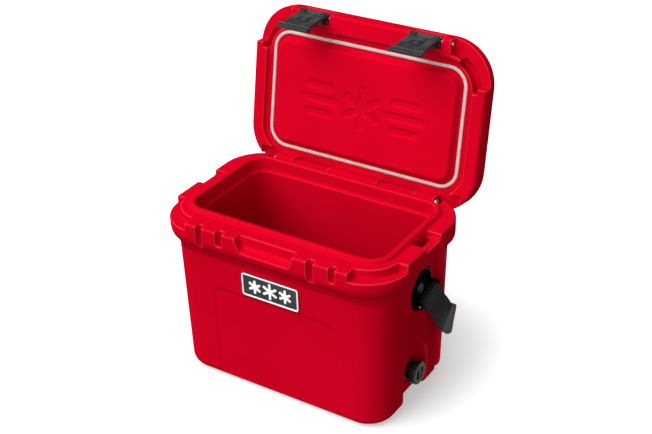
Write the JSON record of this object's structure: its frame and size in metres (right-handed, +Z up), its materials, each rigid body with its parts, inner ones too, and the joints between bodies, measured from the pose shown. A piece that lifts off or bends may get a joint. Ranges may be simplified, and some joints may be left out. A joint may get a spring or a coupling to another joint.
{
  "type": "hard cooler",
  "caption": "Small hard-sided insulated cooler with a hinged lid on pull-down latches, a gasket, a swinging webbing carry strap and a screw drain plug.",
  "frame": {"origin": "centre line of the tub on the ground plane, under the middle of its mouth", "axes": "+Z up, -Y towards the front with the latches, +X towards the drain plug"},
  "size_m": [0.4732, 0.3655, 0.5589],
  "materials": {
    "red_polyethylene": "fine moulded satin texture",
    "polyurethane_foam": "rigid foam, hidden",
    "black_nylon": "satin moulded",
    "black_rubber": "matt",
    "grey_gasket": "matt",
    "white_inlay": "satin",
    "stainless_steel": "satin",
    "black_screw": "black oxide",
    "brass": "plain",
    "black_webbing": "woven"
  },
  "bodies": {
    "tub": {"body_shell": "red_polyethylene", "tub_liner": "red_polyethylene", "liner_floor": "red_polyethylene", "rim_front": "red_polyethylene", "rim_rear": "red_polyethylene", "body_side_left": "red_polyethylene", "body_side_right": "red_polyethylene", "rim_latch_left": "red_polyethylene", "rim_latch_right": "red_polyethylene", "rim_corner_left": "red_polyethylene", "rim_corner_right": "red_polyethylene", "rim_side_left": "red_polyethylene", "rim_side_right": "red_polyethylene", "body_foam": "polyurethane_foam", "body_fill_plug": "black_nylon", "foot_front_left": "black_rubber", "foot_front_right": "black_rubber", "foot_rear_left": "black_rubber", "foot_rear_right": "black_rubber", "badge_plate": "black_nylon", "badge_border": "white_inlay", "badge_emblem": "white_inlay", "hinge_rod": "stainless_steel", "hinge_clip_left": "stainless_steel", "hinge_clip_right": "stainless_steel", "pivot_insert_left": "brass", "pivot_insert_right": "brass", "pivot_screw_left": "black_screw", "pivot_screw_right": "black_screw", "drain_bushing": "black_nylon", "drain_strainer_ring": "black_nylon"},
    "lid": {"lid_shell": "red_polyethylene", "lid_foam": "polyurethane_foam", "lid_fill_plug": "black_nylon", "lid_gasket": "grey_gasket"},
    "latch_pin_left": {"latch_rod_left": "stainless_steel"},
    "latch_pin_right": {"latch_rod_right": "stainless_steel"},
    "latch_left": {"latch_left": "black_nylon"},
    "latch_right": {"latch_right": "black_nylon"},
    "handle": {"handle_hub_left": "black_nylon", "handle_hub_right": "black_nylon", "strap_bar_left": "stainless_steel", "strap_bar_right": "stainless_steel", "carry_strap": "black_webbing", "strap_grip": "black_rubber"},
    "drain_washer": {"drain_seal": "black_rubber"},
    "drain_knob": {"drain_plug": "black_nylon"}
  },
  "joints": [
    {"name": "lid_hinge", "type": "hinge", "parent": "tub", "child": "lid", "pos_m": [0, 0.1245, 0.2923], "axis": [1, 0, 0], "range_deg": [0, 99.7]},
    {"name": "latch_pin_left_turn", "type": "hinge", "parent": "lid", "child": "latch_pin_left", "pos_m": [-0.105, 0.1842, 0.5484], "axis": [-1, 0, 0], "range_deg": [0, 42.5]},
    {"name": "latch_left_turn", "type": "hinge", "parent": "latch_pin_left", "child": "latch_left", "pos_m": [-0.105, 0.1842, 0.5484], "axis": [-1, 0, 0], "range_deg": [0, 60]},
    {"name": "latch_pin_right_turn", "type": "hinge", "parent": "lid", "child": "latch_pin_right", "pos_m": [0.105, 0.1842, 0.5484], "axis": [-1, 0, 0], "range_deg": [0, 42.5]},
    {"name": "latch_right_turn", "type": "hinge", "parent": "latch_pin_right", "child": "latch_right", "pos_m": [0.105, 0.1842, 0.5484], "axis": [-1, 0, 0], "range_deg": [0, 60]},
    {"name": "handle_swing", "type": "hinge", "parent": "tub", "child": "handle", "pos_m": [0, 0.004, 0.206], "axis": [1, 0, 0], "range_deg": [0, 55]},
    {"name": "drain_travel", "type": "slide", "parent": "tub", "child": "drain_washer", "axis": [1, 0, 0], "range_m": [0, 0.012]},
    {"name": "drain_turn", "type": "hinge", "parent": "drain_washer", "child": "drain_knob", "pos_m": [0.1851, -0.008, 0.048], "axis": [1, 0, 0], "range_deg": [0, 1441]}
  ],
  "couplings": [
    {"joint": "latch_pin_left_turn", "follows": "lid_hinge", "ratio": 0.42126},
    {"joint": "latch_pin_right_turn", "follows": "lid_hinge", "ratio": 0.42126},
    {"joint": "drain_turn", "follows": "drain_travel", "rad_per_m": 2094.4}
  ]
}
